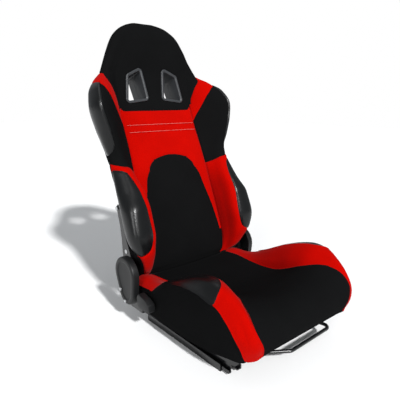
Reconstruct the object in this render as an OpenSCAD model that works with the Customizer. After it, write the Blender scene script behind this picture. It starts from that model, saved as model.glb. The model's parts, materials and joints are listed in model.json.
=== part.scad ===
// Reclining bucket racing seat on a pair of sliding floor rails.
// Millimetres. The seat faces -Y, +X is the sitter's left and +Z is up. The origin is the
// centre of the four floor bolts, on the underside of the rails.

/* [Backrest] */
// Angle of the back from upright, as it is stored
recline = 18; // [15:1:20]
// Distance of the recline axis behind the middle of the rails
hinge_y = 211; // [208:1:214]
// Height of the recline axis above the floor
hinge_z = 146; // [144:1:148]
// Outside diameter of the backrest tube
back_tube_d = 20; // [18:1:20]
// Distance from the middle to each leg of the backrest tube
back_tube_x = 140; // [138:1:140]

/* [Seat frame] */
// Outside diameter of the seat frame tube
seat_tube_d = 22; // [20:1:22]
// Height of the seat frame tube's centre
seat_tube_z = 76; // [75:1:77]
// Wall of both tubes
tube_wall = 1.5; // [1:0.5:2]

/* [Rails] */
// Distance between the two rails, centre to centre
rail_gauge = 330; // [326:2:334]
// Length of each rail
rail_len = 316; // [310:2:330]
// How much further each lower rail reaches behind its bolts than in front of them
rail_tail = 14; // [8:1:20]
// How far the seat is stored forward of the middle of the rails
slide_forward = 27; // [20:1:34]
// Distance between the floor bolts along a rail
bolt_spacing = 276; // [260:2:280]
// Diameter of a floor bolt hole
bolt_hole_d = 9; // [8:0.5:10]

/* [Recliner] */
// Thickness of the recliner plates and arms
plate_t = 4; // [3:0.5:4]
// Distance from the middle to the inner face of each recliner arm
arm_x = 208; // [208:0.5:209]
// Radius of the toothed sector on each arm
sector_r = 36; // [34:1:37]
// Diameter of the pivot bolts
pivot_d = 16; // [12:1:18]
// Number of teeth in each sector
sector_teeth = 9; // [6:1:12]

/* [Rail handle] */
// Diameter of the bent bar that releases the rails
bar_d = 10; // [8:1:11]
// Height of the bar above the floor
bar_z = 33; // [32:1:34]

/* [Harness holes] */
// Width of the frame round each harness hole
bezel_w = 9; // [7:1:10]
// Wall of each harness tunnel
bezel_wall = 2.5; // [2:0.5:3]

/* [Hidden] */
$fn = 48;

rail_x = rail_gauge / 2;
rail_w = 40;
rail_h = 20;
rail_t = 2;
upper_rail_top = 34;

cloth = "#1b1c1e";
leather = "#26272a";
suede = "#d81305";
plastic = "#3a3c3e";
steel = "#141416";
bright = "#9a9da0";

back_tube_r = back_tube_d / 2;
back_tube_depth = -48;
pad_rear = -36;
cover_front = -62.5;
cover_t = 3;
side_plate_x = back_tube_x + back_tube_r;
side_plate_t = 3;
side_plate_top = 225;
foam_bottom = 92;

// ---- shapes shared by several pieces ----

module in_back() translate([0, hinge_y, hinge_z]) rotate([-recline, 0, 0]) children();

module on_both_sides() {
    children();
    mirror([1, 0, 0]) children();
}

// A disc or bar lying along X, from x0 to x1
module rod_x(x0, x1, r) translate([x0, 0, 0]) rotate([0, 90, 0]) cylinder(r = r, h = x1 - x0);

// A plate whose outline is drawn in the Y-Z plane, from x0 to x1
module plate_x(x0, x1) translate([x0, 0, 0]) rotate([90, 0, 90]) linear_extrude(x1 - x0) children();

function unit(v) = v / norm(v);
function turn(a, b) = a[0] * b[1] - a[1] * b[0];

// The corners of a flat path rounded by arcs, as pairs of a point and the direction there
bend_steps = 5;
function rounded_path(path, bend) = let (
    n = len(path),
    legs = [for (i = [0:n - 2]) unit(path[i + 1] - path[i])]) [
    [path[0], legs[0]],
    for (i = [1:n - 2]) let (
        a = legs[i - 1],
        b = legs[i],
        angle = acos(a * b),
        side = turn(a, b) > 0 ? 1 : -1,
        start = path[i] - bend * tan(angle / 2) * a,
        centre = start + side * bend * [-a[1], a[0]])
        for (k = [0:bend_steps]) let (
            t = side * angle * k / bend_steps,
            along = [a[0] * cos(t) - a[1] * sin(t), a[0] * sin(t) + a[1] * cos(t)])
            [centre + side * bend * [along[1], -along[0]], along],
    [path[n - 1], legs[n - 2]]];

// A round tube along a flat path; a bore of 0 makes it a solid bar
module bent_tube(path, r, bend, bore = 0, sides = 12) {
    stops = rounded_path(path, bend);
    m = len(stops);
    function ring(stop, radius) = [for (i = [0:sides - 1]) let (a = 360 * i / sides, q = stop[1])
        [stop[0][0] - radius * cos(a) * q[1], stop[0][1] + radius * cos(a) * q[0], radius * sin(a)]];
    function skin(first, flip) = [for (k = [0:m - 2], i = [0:sides - 1]) let (
        a = first + k * sides + i,
        b = first + k * sides + (i + 1) % sides)
        each flip ? [[a, b + sides, a + sides], [a, b, b + sides]]
            : [[a, a + sides, b + sides], [a, b + sides, b]]];
    inner = m * sides;
    last = (m - 1) * sides;
    polyhedron(
        points = [for (s = stops) each ring(s, r), if (bore > 0) for (s = stops) each ring(s, bore)],
        faces = [
            each skin(0, false),
            if (bore > 0) each skin(inner, true),
            if (bore == 0) [for (i = [0:sides - 1]) i],
            if (bore == 0) [for (i = [sides - 1:-1:0]) last + i],
            if (bore > 0) for (i = [0:sides - 1]) let (j = (i + 1) % sides)
                each [[i, inner + j, inner + i], [i, j, inner + j],
                    [last + i, last + inner + j, last + j],
                    [last + i, last + inner + i, last + inner + j]]],
        convexity = 8);
}

// A point of the smooth curve through four points, between the middle two
function curve_point(a, b, c, d, t) = (2 * b + (c - a) * t + (2 * a - 5 * b + 4 * c - d) * t * t
    + (3 * b - a - 3 * c + d) * t * t * t) / 2;
function smooth(p, steps) = let (n = len(p)) [
    for (i = [0:n - 2]) let (
        a = i > 0 ? p[i - 1] : 2 * p[0] - p[1],
        d = i < n - 2 ? p[i + 2] : 2 * p[n - 1] - p[n - 2])
        for (k = [0:steps - 1]) curve_point(a, p[i], p[i + 1], d, k / steps),
    p[n - 1]];

// A closed solid through rings that all have the same number of points. A first ring that
// isn't flat is closed by a fan of triangles round its middle. Even rings are their own mirror
// images, and so are the triangles between them
module loft(rings, fan = false, even = false) {
    n = len(rings[0]);
    m = len(rings);
    middle = [for (j = [0:2]) [for (p = rings[0]) p[j]] * [for (p = rings[0]) 1] / n];
    polyhedron(
        points = [for (ring = rings) each ring, middle],
        faces = [
            if (fan) for (i = [0:n - 1]) [i, (i + 1) % n, m * n],
            if (!fan) [for (i = [0:n - 1]) i],
            [for (i = [n - 1:-1:0]) (m - 1) * n + i],
            for (k = [0:m - 2], i = [0:n - 1]) let (a = k * n + i, b = k * n + (i + 1) % n)
                each even && rings[k][i][0] > 0 ? [[a, a + n, b], [b, a + n, b + n]]
                    : [[a, a + n, b + n], [a, b + n, b]]],
        convexity = 8);
}

// ---- shape of the upholstery ----

// Half sections across the back. Each row is the distance up from the recline axis, the depth
// in the middle, then width and depth of the seam, inner wall, inner crest, outer crest, side,
// waist of the side and rear corner
BACK = [
    [-12, 6, [150, 4], [154, 8], [158, 14], [172, 16], [192, 6], [194, -6], [162, -40]],
    [0, 12, [152, 14], [160, 22], [168, 44], [188, 46], [199, 14], [196, -2], [166, -50]],
    [30, 22, [154, 20], [160, 40], [170, 74], [204, 78], [206, 30], [200, 2], [168, -58]],
    [60, 27, [156, 22], [160, 52], [170, 94], [220, 100], [228, 52], [203, 6], [170, -62]],
    [115, 31, [153, 24], [156, 60], [166, 108], [232, 113], [241, 62], [205, 8], [170, -62]],
    [180, 32, [150, 24], [154, 60], [166, 108], [227, 112], [241, 62], [206, 8], [171, -62]],
    [228, 32, [148, 24], [154, 54], [167, 98], [215, 98], [237, 56], [207, 7], [172, -62]],
    [240, 32, [147, 24], [154, 52], [168, 94], [212, 94], [236, 54], [208, 6], [173, -62]],
    [300, 30, [145, 24], [158, 42], [178, 70], [208, 74], [230, 42], [212, 0], [177, -62]],
    [345, 27, [143, 22], [164, 36], [188, 58], [210, 61], [229, 38], [214, -4], [181, -62]],
    [400, 20, [141, 17], [170, 40], [205, 72], [230, 76], [242, 42], [222, -6], [187, -62]],
    [450, 12, [140, 11], [172, 42], [214, 84], [244, 90], [254, 46], [232, -6], [192, -62]],
    [500, 7, [140, 7], [172, 42], [216, 86], [252, 97], [261, 46], [236, -8], [194, -62]],
    [550, 6, [140, 8], [168, 36], [208, 70], [241, 82], [251, 36], [226, -12], [188, -62]],
    [590, 9, [140, 11], [160, 26], [186, 42], [212, 48], [225, 18], [200, -20], [160, -62]],
    [625, 14, [138, 16], [150, 20], [166, 24], [182, 20], [190, 6], [174, -24], [134, -61]],
    [660, 24, [120, 24], [134, 25], [150, 26], [163, 20], [168, 3], [156, -28], [122, -60]],
    [707, 34, [98, 35], [114, 36], [129, 35], [140, 27], [145, 8], [132, -26], [96, -60]],
    [745, 40, [82, 40], [97, 40], [110, 37], [119, 29], [123, 10], [108, -26], [72, -56]],
    [775, 36, [58, 36], [70, 35], [80, 32], [87, 24], [90, 8], [76, -24], [46, -48]],
    [792, 26, [30, 26], [38, 25], [46, 22], [52, 15], [55, 3], [46, -20], [28, -36]],
    [802, 8, [10, 8], [14, 7], [18, 6], [21, 3], [22, -4], [18, -12], [12, -18]]];
back_end = 644;
head_start = 505;
bolster_start = 4;

// Rows along the seat from its rear to its front hem. Each row is the middle of the pad, the
// seam, inner wall, inner crest, outer crest, side and lower edge, as X, Y and Z
SEAT = [
    [[0, 197, 124], [157, 197, 130], [166, 197, 134], [176, 197, 137],
        [190, 197, 136], [206, 197, 118], [205, 197, 58]],
    [[0, 173, 125], [157, 173, 134], [166, 173, 138], [177, 173, 142],
        [194, 173, 141], [208, 173, 122], [205, 173, 56]],
    [[0, 123, 127], [155, 123, 137], [165, 123, 140], [178, 123, 144],
        [196, 123, 143], [210, 123, 126], [206, 123, 54]],
    [[0, 73, 128], [150, 73, 137], [162, 73, 146], [178, 73, 155],
        [198, 73, 155], [213, 73, 130], [207, 73, 54]],
    [[0, 23, 130], [147, 23, 138], [156, 23, 157], [176, 23, 177],
        [200, 23, 177], [217, 23, 142], [208, 23, 54]],
    [[0, -17, 132], [146, -17, 141], [152, -17, 168], [174, -17, 197],
        [203, -17, 196], [221, -17, 154], [208, -17, 56]],
    [[0, -57, 138], [145, -57, 148], [150, -57, 180], [174, -57, 215],
        [206, -57, 214], [225, -57, 166], [209, -57, 58]],
    [[0, -102, 148], [142, -102, 166], [150, -102, 198], [176, -102, 231],
        [210, -102, 230], [229, -102, 178], [210, -102, 62]],
    [[0, -147, 160], [143, -147, 187], [156, -147, 212], [182, -147, 240],
        [214, -147, 238], [231, -147, 186], [210, -147, 68]],
    [[0, -189, 168], [160, -189, 200], [172, -189, 217], [190, -189, 234],
        [213, -189, 230], [229, -189, 182], [208, -189, 75]],
    [[0, -217, 168], [175, -217, 200], [181, -218, 209], [192, -220, 219],
        [210, -217, 214], [225, -214, 172], [206, -213, 79]],
    [[0, -243, 161], [186, -245, 190], [189, -246, 194], [195, -247, 198],
        [207, -241, 192], [219, -234, 158], [203, -229, 80]],
    [[0, -261, 148], [189, -265, 170], [192, -266, 171], [197, -265, 172],
        [205, -258, 166], [214, -247, 143], [200, -239, 81]],
    [[0, -272, 132], [183, -276, 148], [188, -277, 147], [194, -276, 146],
        [202, -269, 142], [208, -256, 126], [197, -245, 82]],
    [[0, -276, 114], [170, -279, 122], [178, -279, 120], [186, -277, 118],
        [194, -270, 115], [200, -258, 105], [194, -248, 83]],
    [[0, -270, 96], [160, -270, 96], [168, -269, 93], [176, -267, 90],
        [184, -262, 88], [190, -255, 86], [190, -249, 84]]];
seat_rear_row = 0;
bolster_rear_row = 2;
skirt_t = 14;

function lerp(a, b, t) = a + (b - a) * t;
function back_row(s) = let (
    i = max([for (k = [0:len(BACK) - 2]) BACK[k][0] <= s ? k : 0]),
    t = (s - BACK[i][0]) / (BACK[i + 1][0] - BACK[i][0]))
    [s, for (j = [1:8]) lerp(BACK[i][j], BACK[i + 1][j], t)];
function stations(low, high) = [low, for (row = BACK) if (row[0] > low && row[0] < high) row[0], high];
// Width and depth on the back become X, Y and Z before it leans
function back_point(p, s) = [p[0], -p[1], s];
function outer_curve(row) = smooth([for (j = [2:8]) row[j]], 2);

// The rear inner corner of each bolster leaves room for the frame tube
function tube_clear_x(s) = s < 450 ? side_plate_x + 4 : lerp(side_plate_x + 6, 127, (s - 450) / 175);
function bolster_inner_x(row) = max(row[2][0] + 1,
    row[0] < side_plate_top + 5 ? side_plate_x + side_plate_t + 0.5 : 0);

module lower_rail() color(steel) difference() {
    translate([rail_x, rail_len / 2 + rail_tail, 0]) rotate([90, 0, 0])
        linear_extrude(rail_len + rail_tail) {
        translate([-rail_w / 2, 0]) square([rail_w, rail_t]);
        for (side = [0, 1]) mirror([side, 0]) {
            translate([rail_w / 2 - rail_t, 0]) square([rail_t, rail_h]);
            translate([rail_w / 2 - 8, rail_h - rail_t]) square([8, rail_t]);
            translate([rail_w / 2 - 8, rail_h - 7]) square([rail_t, 7]);
        }
    }
    for (side = [-1, 1]) translate([rail_x, side * bolt_spacing / 2, -1])
        cylinder(d = bolt_hole_d, h = rail_t + 2);
    for (y = [-120:12:120]) translate([rail_x - rail_w / 2 + rail_t, y - 3, rail_h - rail_t - 1])
        cube([4, 6, rail_t + 2]);
}

module rail_end_stops() color(bright) on_both_sides()
    for (y = [5 - rail_len / 2, rail_len / 2 + rail_tail - 5])
        translate([rail_x - 16, y - 2, rail_t]) cube([32, 4, 3]);

// ---- ball slides ----

cage_len = 140;
cage_y = -slide_forward / 2;
ball_r = 2;
ball_z = 4.3;
module at_balls() for (dx = [-12, 12], dy = [-60, -20, 20, 60])
    translate([rail_x + dx, cage_y + dy, ball_z]) children();

module ball_cage() color(bright) difference() {
    for (dx = [-12, 12]) translate([rail_x + dx - 4, cage_y - cage_len / 2, ball_z - 0.7])
        cube([8, cage_len, 1.4]);
    at_balls() translate([0, 0, -2]) cylinder(r = ball_r + 0.05, h = 4);
}

module rail_balls() color(bright) on_both_sides() at_balls() sphere(r = ball_r);

module upper_rail() color(steel) difference() {
    translate([rail_x, rail_len / 2 - slide_forward, 0]) rotate([90, 0, 0])
        linear_extrude(rail_len) {
            translate([-10, upper_rail_top - 2]) square([20, 2]);
            for (side = [0, 1]) mirror([side, 0]) {
                translate([8, 6.6]) square([2, upper_rail_top - 6.6]);
                translate([8, 6.6]) square([9, 2]);
                translate([15, 6.6]) square([2, 9.4]);
            }
        }
    for (y = riser_bolt_y) translate([rail_x, y, 0]) cylinder(r = 4, h = 60);
    translate([rail_x - 11, release_y, bar_z]) rod_x(0, 4, release_pin_r);
}

// ---- seat frame ----

riser_bolt_y = [-150, -20, 110];
riser_x = rail_x + seat_tube_d / 2;
riser_t = 3;
module riser() color(steel) {
    difference() {
        translate([rail_x - 7.8, -slide_forward - rail_len / 2, upper_rail_top])
            cube([riser_x - rail_x + 7.8, rail_len, riser_t]);
        for (y = riser_bolt_y) translate([rail_x, y, 0]) cylinder(r = 4, h = 60);
    }
    plate_x(riser_x, riser_x + riser_t) polygon([[-190, upper_rail_top], [-222, 40], [-222, 52],
        [-205, 52], [-190, 60], [-160, 84], [190, 84], [200, 70], [190, 42], [128, upper_rail_top]]);
    translate([riser_x + riser_t, -222, 40]) cube([10, 12, 3]);
}

module riser_bolts() color(bright) on_both_sides() for (y = riser_bolt_y) translate([rail_x, y, 0]) {
    translate([0, 0, upper_rail_top - 10]) cylinder(r = 4, h = 10 + riser_t);
    translate([0, 0, upper_rail_top + riser_t]) cylinder(r = 7, h = 5, $fn = 6);
    translate([0, 0, upper_rail_top - 8]) cylinder(r = 6.5, h = 6, $fn = 6);
}

seat_tube_r = seat_tube_d / 2;
rear_tube_y = 150;
front_tube_y = -202;
module seat_frame() color(steel) translate([0, 0, seat_tube_z]) bent_tube([[rail_x, 200],
    [rail_x, front_tube_y], [-rail_x, front_tube_y], [-rail_x, 200]], seat_tube_r, 45,
    seat_tube_r - tube_wall, 16);

module seat_cross_tube() color(steel) translate([0, rear_tube_y, seat_tube_z]) difference() {
    rod_x(seat_tube_r - rail_x - 1, rail_x - seat_tube_r + 1, seat_tube_r);
    rod_x(-rail_x, rail_x, seat_tube_r - tube_wall);
}

spring_w = 3.5;
spring_swing = 14;
function spring_y(k) = lerp(front_tube_y, rear_tube_y, k / 48);
function spring_x(k) = spring_swing * sin(k * 60);
function edge_x(k, side) = spring_x(k) + side * spring_w / 2 * sqrt(1 + pow(2 * cos(k * 60), 2));
module seat_springs() color(bright) for (x = [-90, -30, 30, 90])
    translate([x, 0, seat_tube_z + seat_tube_r]) linear_extrude(spring_w) polygon([
        for (k = [0:48]) [edge_x(k, -1), spring_y(k)],
        for (k = [48:-1:0]) [edge_x(k, 1), spring_y(k)]]);

// The rows fan out round the front edge, from this one on
fan_row = 10;
function under(i) = [SEAT[min(i, fan_row)][0][1] - 7.4 * max(i - fan_row, 0), foam_bottom];

module seat_pad() color(cloth) loft([for (i = [len(SEAT) - 1:-1:seat_rear_row])
    let (row = SEAT[i], mid = row[0], seam = row[1], low = under(i))
    [mid, [seam[0] - 1, seam[1], seam[2]], [seam[0] - 1, low[0], low[1]], [0, low[0], low[1]],
        [1 - seam[0], low[0], low[1]], [1 - seam[0], seam[1], seam[2]]]], even = true);

module seat_bolster() color(suede) loft([for (i = [len(SEAT) - 1:-1:bolster_rear_row])
    let (row = SEAT[i], low = under(i), edge = row[6],
        inner_x = max(edge[0] - skirt_t, row[1][0] + 2),
        inner_y = low[0] + (i < fan_row ? 0 : 2))
    [[row[1][0], low[0], foam_bottom],
        for (p = smooth([for (j = [1:6]) row[j]], 2)) [max(p[0], row[1][0]), p[1], p[2]],
        [inner_x, inner_y, edge[2]], [inner_x, inner_y, foam_bottom]]], fan = true);

// ---- recliner ----

plate_x0 = arm_x + plate_t + 1;
plate_x1 = plate_x0 + plate_t;
cover_x0 = 226.5;
cover_x1 = 246.5;
cover_wall = 2;
shaft = [205, 96];
shaft_r = 6;
post_r = 4.5;
cover_posts = [[196, 74], [222, 104]];
foot_z = 42;
module at_yz(p) translate([0, p[0], p[1]]) children();

module recliner_plate() color(steel) {
    difference() {
        plate_x(plate_x0, plate_x1) {
            hull() {
                translate([hinge_y, hinge_z]) circle(r = sector_r, $fn = 32);
                translate([200, 84]) circle(r = 22, $fn = 32);
            }
            polygon([[178, 84], [222, 84], [215, foot_z], [150, foot_z], [150, foot_z + 12]]);
        }
        at_yz([hinge_y, hinge_z]) rod_x(plate_x0 - 1, plate_x1 + 1, pivot_d / 2);
        at_yz(shaft) rod_x(plate_x0 - 1, plate_x1 + 1, shaft_r + 0.05);
    }
    translate([riser_x + riser_t, 150, foot_z]) cube([plate_x0 - riser_x - riser_t, 40, plate_t]);
    for (p = cover_posts) at_yz(p) rod_x(plate_x1, cover_x1 - cover_wall, post_r);
}

module cover_outline(inset) hull() {
    translate([197, 158]) circle(r = 54 - inset, $fn = 48);
    translate([191, 108]) circle(r = 42 - inset, $fn = 48);
}

module recliner_cover() color(plastic) difference() {
    plate_x(cover_x0, cover_x1) cover_outline(0);
    plate_x(cover_x0 - 1, cover_x1 - cover_wall) cover_outline(cover_wall);
    for (p = cover_posts) at_yz(p) rod_x(cover_x0, cover_x1 + 1, 2.5);
    translate([cover_x0 - 1, 130, 84]) cube([8, 40, 66]);
}

module cover_screws() color(bright) on_both_sides() for (p = cover_posts) at_yz(p) {
    rod_x(cover_x1 - cover_wall, cover_x1, 2.5);
    rod_x(cover_x1, cover_x1 + 2.5, 5);
}

module pivot_bolts() color(bright) on_both_sides() at_yz([hinge_y, hinge_z]) {
    rod_x(arm_x - 4.3, arm_x - 0.3, pivot_d / 2 + 2);
    rod_x(arm_x - 0.3, plate_x1, pivot_d / 2);
    rod_x(plate_x1, cover_x0 - 2.5, pivot_d / 2 - 2);
    translate([plate_x1, 0, 0]) rotate([0, 90, 0]) cylinder(r = pivot_d / 2 + 1, h = 1.5, $fn = 6);
}

spring_turns = 3;
function coil_r(a) = 10 + 5.5 * a / 360;
module return_springs() color(bright) on_both_sides() at_yz([hinge_y, hinge_z])
    plate_x(plate_x1 + 2, plate_x1 + 6.5) polygon([
        for (a = [0:20:360 * spring_turns]) coil_r(a) * [cos(a), sin(a)],
        for (a = [360 * spring_turns:-20:0]) (coil_r(a) + 2) * [cos(a), sin(a)]]);

module cross_shaft() color(steel) at_yz(shaft)
    rod_x(-cover_x0 - 5.5, plate_x1 + 2, shaft_r);

// The toothed pawl stops 0.6 mm short of the sector, so either can turn alone
module recline_pawls() color(bright) on_both_sides() difference() {
    at_yz(shaft) plate_x(arm_x, arm_x + plate_t) hull() {
        circle(r = 10, $fn = 32);
        translate([1.5, 9]) circle(r = 4, $fn = 32);
    }
    at_yz([hinge_y, hinge_z]) rod_x(arm_x - 1, arm_x + plate_t + 1, sector_r + 0.6);
    at_yz(shaft) rod_x(arm_x - 1, arm_x + plate_t + 1, shaft_r);
}

lever_x0 = 229;
lever_t = 3;
module recline_lever() color(steel) mirror([1, 0, 0]) difference() {
    plate_x(lever_x0, lever_x0 + lever_t) hull() {
        translate(shaft) circle(r = 11, $fn = 32);
        translate([110, 97]) circle(r = 8, $fn = 32);
    }
    at_yz(shaft) rod_x(lever_x0 - 1, lever_x0 + lever_t + 1, shaft_r);
}

module lever_grip() color(plastic) mirror([1, 0, 0]) difference() {
    plate_x(222, 243) polygon([[136, 84], [136, 110], [127, 121], [92, 114], [74, 104],
        [72, 84], [82, 77], [128, 78]]);
    translate([lever_x0, 100, 80]) cube([lever_t, 60, 34]);
}

// ---- rail release ----

release_y = -60;
release_pin_r = 3;
lock_x0 = 148;
lock_t = 3;
bar_x = lock_x0 - bar_d / 2;
module release_pivots() color(bright) on_both_sides() at_yz([release_y, bar_z]) {
    rod_x(lock_x0 - 0.3, rail_x - 8, release_pin_r);
    rod_x(lock_x0 - 3, lock_x0 - 0.3, 5);
}

module rail_handle() color(steel) translate([0, 0, bar_z]) bent_tube([[bar_x, -72], [bar_x, -160],
    [160, -243], [-20, -247], [-bar_x, -164], [-bar_x, -72]], bar_d / 2, 18);

// The teeth stop just above the slots in the lower rail, so the seat can slide
module lock_plate() color(bright) difference() {
    plate_x(lock_x0, lock_x0 + lock_t) {
        polygon([[-50, 25], [-50, 41], [-126, 41], [-126, 25]]);
        for (y = [-120, -108, -96]) translate([y - 2.5, rail_h + 0.6]) square([5, 6]);
    }
    at_yz([release_y, bar_z]) rod_x(lock_x0 - 1, lock_x0 + lock_t + 1, release_pin_r + 0.05);
}

// ---- backrest frame ----

module at_depth(d, s) translate([0, -d, s]) children();
arm_bolts_at = [[-4, 205], [-8, 70]];
arm_bolt_r = 4;

module back_frame() color(steel) in_back() at_depth(back_tube_depth, 0) rotate([90, 0, 0])
    bent_tube([[back_tube_x, 10], [back_tube_x, 440], [131, 530], [114, 625], [62, 700],
        [-62, 700], [-114, 625], [-131, 530], [-back_tube_x, 440], [-back_tube_x, 10]],
        back_tube_r, 30, back_tube_r - tube_wall);

module frame_plate() color(steel) in_back() difference() {
    plate_x(side_plate_x, side_plate_x + side_plate_t)
        polygon([[5, 12], [5, 222], [54, 222], [54, 12]]);
    for (p = arm_bolts_at) at_depth(p[0], p[1]) rod_x(side_plate_x - 1, arm_x, arm_bolt_r);
}

module back_wires() color(bright) in_back() for (s = [80, 150, 220, 290, 360])
    at_depth(back_tube_depth, s) rod_x(back_tube_r - back_tube_x, back_tube_x - back_tube_r, 2);

module arm_blank(x0, x1) {
    rod_x(x0, x1, sector_r);
    at_depth(-1, 205) rod_x(x0, x1, 11);
    plate_x(x0, x1) polygon([[11, 208], [13, 150], [20, 108], [31, 70],
        [34, 8], [28, -8], [-28, -8], [-34, 8], [-15, 50], [-9, 100], [-9, 208]]);
}

module recliner_arm() color(steel) in_back() difference() {
    arm_blank(arm_x, arm_x + plate_t);
    for (p = arm_bolts_at) at_depth(p[0], p[1]) rod_x(arm_x - 1, arm_x + plate_t + 1, arm_bolt_r);
    rod_x(arm_x - 1, arm_x + plate_t + 1, pivot_d / 2 + 0.05);
    for (i = [0:sector_teeth - 1]) rotate([recline - 90 - 15 + 60 * (0.5 - i / (sector_teeth - 1)), 0, 0])
        translate([0, sector_r, 0]) rod_x(arm_x - 1, arm_x + plate_t + 1, 1.2);
}

module arm_bolts() color(bright) in_back() on_both_sides() for (p = arm_bolts_at)
    at_depth(p[0], p[1]) {
        rod_x(side_plate_x, arm_x + plate_t, arm_bolt_r);
        translate([arm_x + plate_t, 0, 0]) rotate([0, 90, 0])
            cylinder(r = 7, h = p[1] > 100 ? 5 : 0.7, $fn = 6);
    }

// ---- backrest upholstery ----

function mirrored(p) = [-p[0], p[1], p[2]];
module mirrored_loft(halves) loft([for (half = halves) [
    for (p = half) p,
    for (i = [len(half) - 1:-1:0]) if (half[i][0] > 0) mirrored(half[i])]]);

module back_pad() color(suede) in_back() mirrored_loft([for (s = stations(-12, head_start - 1))
    let (row = back_row(s), w = min(row[2][0] - 1, side_plate_x - 0.5))
    [back_point([0, row[1]], s), back_point([w, row[2][1]], s), back_point([w, pad_rear], s)]]);

module back_bolster() color(leather) in_back() difference() {
    loft([for (s = stations(bolster_start, back_end)) let (
        row = back_row(s),
        inner = bolster_inner_x(row),
        clear = tube_clear_x(s)) [
            for (p = outer_curve(row)) back_point([max(p[0], inner), p[1]], s),
            back_point([clear, row[8][1]], s),
            back_point([clear, pad_rear], s),
            back_point([inner, pad_rear], s)]]);
    for (p = arm_bolts_at) at_depth(p[0], p[1]) rod_x(side_plate_x, 240, arm_bolt_r + 2);
    arm_blank(arm_x, 260);
}

hole_corners = [[51, 629], [87, 612], [99, 542], [40, 549]];
hole_r = 4;
module hole_outline(r) hull() for (c = hole_corners) translate(c) circle(r = r, $fn = 32);
module through(low, high) rotate([90, 0, 0]) translate([0, 0, low]) linear_extrude(high - low)
    children();
// The slab that the face of each harness frame lies in, by its depth from that face
module face_slab(low, high) at_depth(13, 590) rotate([6.3, 0, 0]) translate([0, -high, -150])
    cube([200, high - low, 300]);

module harness_cuts() on_both_sides() {
    through(-70, 60) hole_outline(hole_r + bezel_wall + 0.5);
    intersection() {
        through(-70, 60) hole_outline(hole_r + bezel_w + 0.5);
        face_slab(-6.5, 60);
    }
}

module shoulder_pad() color(cloth) in_back() difference() {
    mirrored_loft([for (s = stations(head_start, back_end)) let (row = back_row(s), w = row[2][0] - 1)
        [back_point([0, row[1]], s), back_point([w, row[2][1]], s), back_point([w, pad_rear], s)]]);
    harness_cuts();
}

// The back of the head pad has a pocket for the top of the frame tube
pocket_top = 714;
function pocket_w(s) = s < 660 ? lerp(118, 106, (s - back_end) / 20)
    : s < pocket_top ? lerp(106, 78, (s - 660) / 54) : lerp(78, 8, (s - pocket_top) / 88);
function pocket_depth(row) = row[0] <= pocket_top ? pad_rear : row[8][1] + 1;
module head_pad() color(cloth) in_back() mirrored_loft([
    for (s = concat(stations(back_end, pocket_top), stations(pocket_top + 10, 802)))
        let (row = back_row(s), w = pocket_w(s))
        [back_point([0, row[1]], s), for (p = outer_curve(row)) back_point(p, s),
            back_point([w, row[8][1]], s), back_point([w, pocket_depth(row)], s)]]);

module rear_cover() color(leather) in_back() difference() {
    through(cover_front - cover_t, cover_front) polygon([
        for (s = stations(14, pocket_top)) [back_row(s)[8][0] - 2, s],
        for (s = [for (all = [stations(14, pocket_top)]) for (i = [len(all) - 1:-1:0]) all[i]])
            [2 - back_row(s)[8][0], s]]);
    on_both_sides() through(-80, 0) hole_outline(hole_r + bezel_wall + 0.5);
}

module harness_bezel() color(plastic) in_back() difference() {
    intersection() {
        union() {
            intersection() {
                through(-70, 60) hole_outline(hole_r + bezel_w);
                face_slab(-6, 2);
            }
            through(pad_rear, 30) hole_outline(hole_r + bezel_wall);
        }
        face_slab(-90, 2);
    }
    through(-80, 60) hole_outline(hole_r);
}

module harness_rear_bezel() color(plastic) in_back() difference() {
    union() {
        through(cover_front - cover_t - 3, cover_front - cover_t) hole_outline(hole_r + bezel_w);
        through(cover_front - cover_t, pad_rear - 0.5) hole_outline(hole_r + bezel_wall);
    }
    through(-80, 0) hole_outline(hole_r);
}

// ---- left and right pieces ----

module lower_rail_left() lower_rail();
module lower_rail_right() mirror([1, 0, 0]) lower_rail();
module ball_cage_left() ball_cage();
module ball_cage_right() mirror([1, 0, 0]) ball_cage();
module upper_rail_left() upper_rail();
module upper_rail_right() mirror([1, 0, 0]) upper_rail();
module riser_left() riser();
module riser_right() mirror([1, 0, 0]) riser();
module seat_bolster_left() seat_bolster();
module seat_bolster_right() mirror([1, 0, 0]) seat_bolster();
module recliner_plate_left() recliner_plate();
module recliner_plate_right() mirror([1, 0, 0]) recliner_plate();
module recliner_cover_left() recliner_cover();
module recliner_cover_right() mirror([1, 0, 0]) recliner_cover();
module lock_plate_left() lock_plate();
module lock_plate_right() mirror([1, 0, 0]) lock_plate();
module frame_plate_left() frame_plate();
module frame_plate_right() mirror([1, 0, 0]) frame_plate();
module recliner_arm_left() recliner_arm();
module recliner_arm_right() mirror([1, 0, 0]) recliner_arm();
module back_bolster_left() back_bolster();
module back_bolster_right() mirror([1, 0, 0]) back_bolster();
module harness_bezel_left() harness_bezel();
module harness_bezel_right() mirror([1, 0, 0]) harness_bezel();
module harness_rear_bezel_left() harness_rear_bezel();
module harness_rear_bezel_right() mirror([1, 0, 0]) harness_rear_bezel();

lower_rail_left();
lower_rail_right();
rail_end_stops();
ball_cage_left();
ball_cage_right();
rail_balls();
upper_rail_left();
upper_rail_right();
riser_left();
riser_right();
riser_bolts();
seat_frame();
seat_cross_tube();
seat_springs();
seat_pad();
seat_bolster_left();
seat_bolster_right();
recliner_plate_left();
recliner_plate_right();
recliner_cover_left();
recliner_cover_right();
pivot_bolts();
return_springs();
cover_screws();
release_pivots();
rail_handle();
lock_plate_left();
lock_plate_right();
recline_lever();
lever_grip();
cross_shaft();
recline_pawls();
back_frame();
frame_plate_left();
frame_plate_right();
back_wires();
recliner_arm_left();
recliner_arm_right();
arm_bolts();
back_pad();
back_bolster_left();
back_bolster_right();
shoulder_pad();
head_pad();
rear_cover();
harness_bezel_left();
harness_bezel_right();
harness_rear_bezel_left();
harness_rear_bezel_right();
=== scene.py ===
import json
import math

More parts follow.
